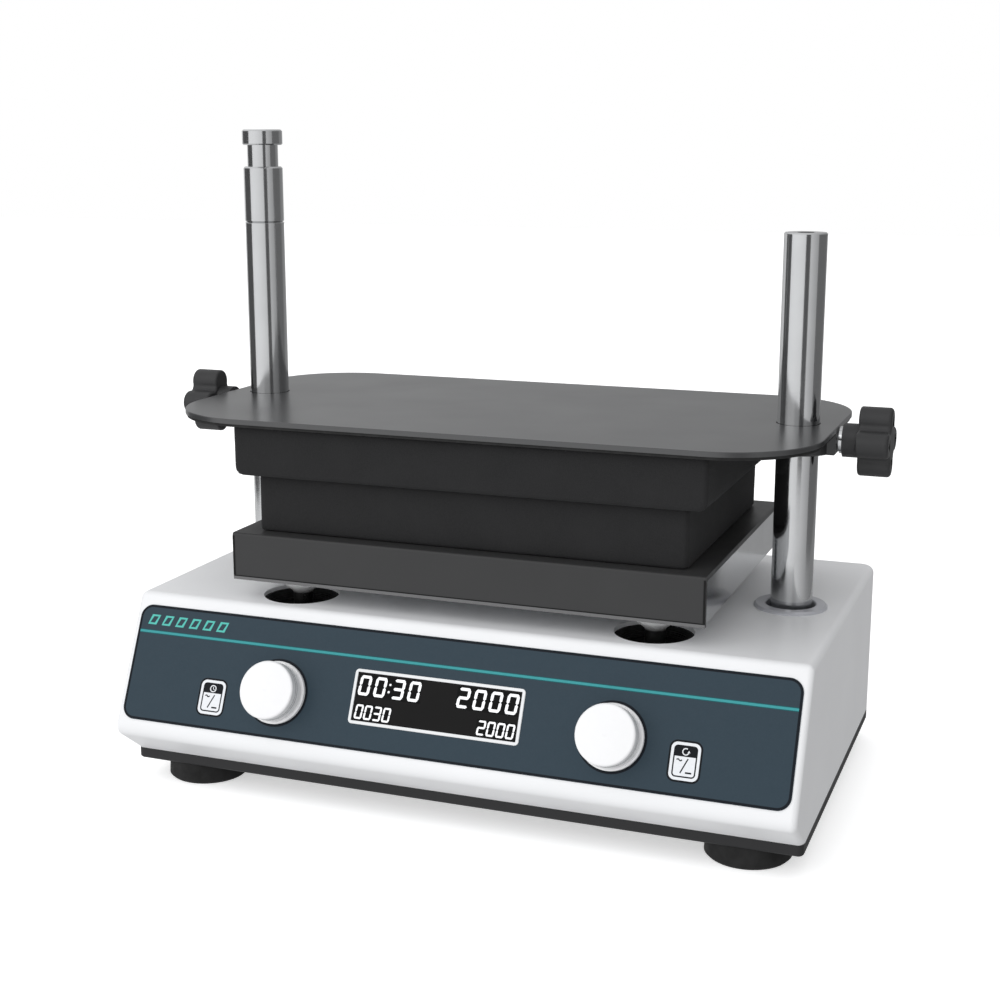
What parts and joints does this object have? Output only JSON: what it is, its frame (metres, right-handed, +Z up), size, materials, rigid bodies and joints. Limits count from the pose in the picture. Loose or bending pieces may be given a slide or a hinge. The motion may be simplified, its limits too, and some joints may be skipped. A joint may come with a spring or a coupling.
{
  "type": "vortex mixer",
  "caption": "Multi-tube vortex mixer: a foam tube rack and a clamp plate on two posts orbit together above a casing with a slanted panel.",
  "frame": {"origin": "centre of the whole machine's footprint, on the surface under the feet", "axes": "+Z up; +X along the casing to the right as seen from the front; +Y to the rear, so the slanted control panel faces -Y"},
  "size_m": [0.462, 0.2768, 0.4008],
  "materials": {
    "casing": "satin",
    "base_plate": "satin",
    "rubber_black": "matte",
    "screw_steel": "satin",
    "overlay": "satin",
    "bezel": "satin",
    "window": "gloss",
    "display": "gloss",
    "board": "satin",
    "pillar_brass": "satin",
    "knob_white": "gloss",
    "encoder_body": "satin",
    "collar": "satin",
    "motor": "satin",
    "shaft_steel": "polished",
    "weight": "satin",
    "aluminium_part": "satin",
    "bearing": "polished",
    "polished_steel": "polished",
    "tray_black": "satin",
    "tray_end": "polished",
    "foam": "matte",
    "plate_grey": "satin",
    "damping": "matte",
    "boss_black": "satin",
    "brass_tip": "satin",
    "star_black": "satin",
    "power_box": "satin",
    "fitting_black": "satin"
  },
  "bodies": {
    "base": {"casing": "casing", "base_plate": "base_plate", "rubber_feet": "rubber_black", "foot_screws": "screw_steel", "chassis_screws": "screw_steel", "panel_overlay": "overlay", "display_bezel": "bezel", "display_window": "window", "display_module": "display", "control_board": "board", "board_pillars": "pillar_brass", "knob_rings": "knob_white", "encoders": "encoder_body", "drive_motor": "motor", "idler_pedestals": "aluminium_part", "shaft_boots": "rubber_black", "post_collars": "collar", "power_supply": "power_box", "motor_driver": "power_box", "power_inlet": "fitting_black", "inlet_pins": "polished_steel", "switch_housing": "fitting_black"},
    "rotor": {"drive_shaft": "shaft_steel", "counterweight": "weight"},
    "idler_left": {"idler_crank_left": "shaft_steel"},
    "idler_right": {"idler_crank_right": "shaft_steel"},
    "idler_rear": {"idler_crank_rear": "shaft_steel"},
    "platform": {"drive_plate": "aluminium_part", "crank_bearings": "bearing", "standoffs": "polished_steel", "platform_screws": "screw_steel", "platform_plate": "aluminium_part", "tray_cover": "tray_black", "tray_end_left": "tray_end", "tray_end_right": "tray_end", "tube_rack": "foam", "rack_dowels": "screw_steel", "post_nuts": "screw_steel", "post_left": "polished_steel", "post_right": "polished_steel", "post_extension": "polished_steel"},
    "clamp": {"clamp_plate": "plate_grey", "damping_sheet": "damping", "clamp_pad": "foam", "clamp_boss_left": "boss_black", "clamp_boss_right": "boss_black"},
    "left_tip": {"clamp_tip_left": "brass_tip"},
    "right_tip": {"clamp_tip_right": "brass_tip"},
    "left_star_knob": {"clamp_screw_left": "polished_steel", "star_knob_left": "star_black"},
    "right_star_knob": {"clamp_screw_right": "polished_steel", "star_knob_right": "star_black"},
    "time_switch": {"time_plunger": "encoder_body"},
    "speed_switch": {"speed_plunger": "encoder_body"},
    "time_control": {"time_shaft": "shaft_steel", "time_knob": "knob_white"},
    "speed_control": {"speed_shaft": "shaft_steel", "speed_knob": "knob_white"},
    "rocker": {"switch_rocker": "fitting_black"}
  },
  "joints": [
    {"name": "drive_spin", "type": "hinge", "parent": "base", "child": "rotor", "pos_m": [0, 0.01509, 0.07], "axis": [0, 0, 1], "continuous": true},
    {"name": "platform_orbit", "type": "hinge", "parent": "rotor", "child": "platform", "pos_m": [0, 0.01689, 0.1], "axis": [0, 0, 1], "continuous": true},
    {"name": "idler_left_spin", "type": "hinge", "parent": "base", "child": "idler_left", "pos_m": [-0.088, -0.03291, 0.08], "axis": [0, 0, 1], "continuous": true},
    {"name": "idler_right_spin", "type": "hinge", "parent": "base", "child": "idler_right", "pos_m": [0.088, -0.03291, 0.08], "axis": [0, 0, 1], "continuous": true},
    {"name": "idler_rear_spin", "type": "hinge", "parent": "base", "child": "idler_rear", "pos_m": [0, 0.09709, 0.08], "axis": [0, 0, 1], "continuous": true},
    {"name": "clamp_height", "type": "slide", "parent": "platform", "child": "clamp", "axis": [0, 0, 1], "range_m": [0, 0.105]},
    {"name": "left_clamp_travel", "type": "slide", "parent": "clamp", "child": "left_tip", "axis": [-1, 0, 0], "range_m": [0, 0.00375]},
    {"name": "left_clamp_turn", "type": "hinge", "parent": "left_tip", "child": "left_star_knob", "pos_m": [-0.212, 0.01689, 0.2228], "axis": [-1, 0, 0], "range_deg": [0, 1080]},
    {"name": "right_clamp_travel", "type": "slide", "parent": "clamp", "child": "right_tip", "axis": [1, 0, 0], "range_m": [0, 0.00375]},
    {"name": "right_clamp_turn", "type": "hinge", "parent": "right_tip", "child": "right_star_knob", "pos_m": [0.212, 0.01689, 0.2228], "axis": [1, 0, 0], "range_deg": [0, 1080]},
    {"name": "time_push", "type": "slide", "parent": "base", "child": "time_switch", "axis": [0, 0.9049, -0.4257], "range_m": [0, 0.0008], "stiffness_N_per_m": 2500, "springref_m": -0.0008},
    {"name": "time_turn", "type": "hinge", "parent": "time_switch", "child": "time_control", "pos_m": [-0.104, -0.11692, 0.07262], "axis": [0, -0.9049, 0.4257], "continuous": true},
    {"name": "speed_push", "type": "slide", "parent": "base", "child": "speed_switch", "axis": [0, 0.9049, -0.4257], "range_m": [0, 0.0008], "stiffness_N_per_m": 2500, "springref_m": -0.0008},
    {"name": "speed_turn", "type": "hinge", "parent": "speed_switch", "child": "speed_control", "pos_m": [0.104, -0.11692, 0.07262], "axis": [0, -0.9049, 0.4257], "continuous": true},
    {"name": "power_rock", "type": "hinge", "parent": "base", "child": "rocker", "pos_m": [0.108, 0.13369, 0.062], "axis": [1, 0, 0], "range_deg": [-16, 0]}
  ],
  "couplings": [
    {"joint": "platform_orbit", "follows": "drive_spin", "ratio": -1},
    {"joint": "idler_left_spin", "follows": "drive_spin", "ratio": 1},
    {"joint": "idler_right_spin", "follows": "drive_spin", "ratio": 1},
    {"joint": "idler_rear_spin", "follows": "drive_spin", "ratio": 1},
    {"joint": "left_clamp_turn", "follows": "left_clamp_travel", "rad_per_m": 5026.5},
    {"joint": "right_clamp_turn", "follows": "right_clamp_travel", "rad_per_m": 5026.5}
  ]
}
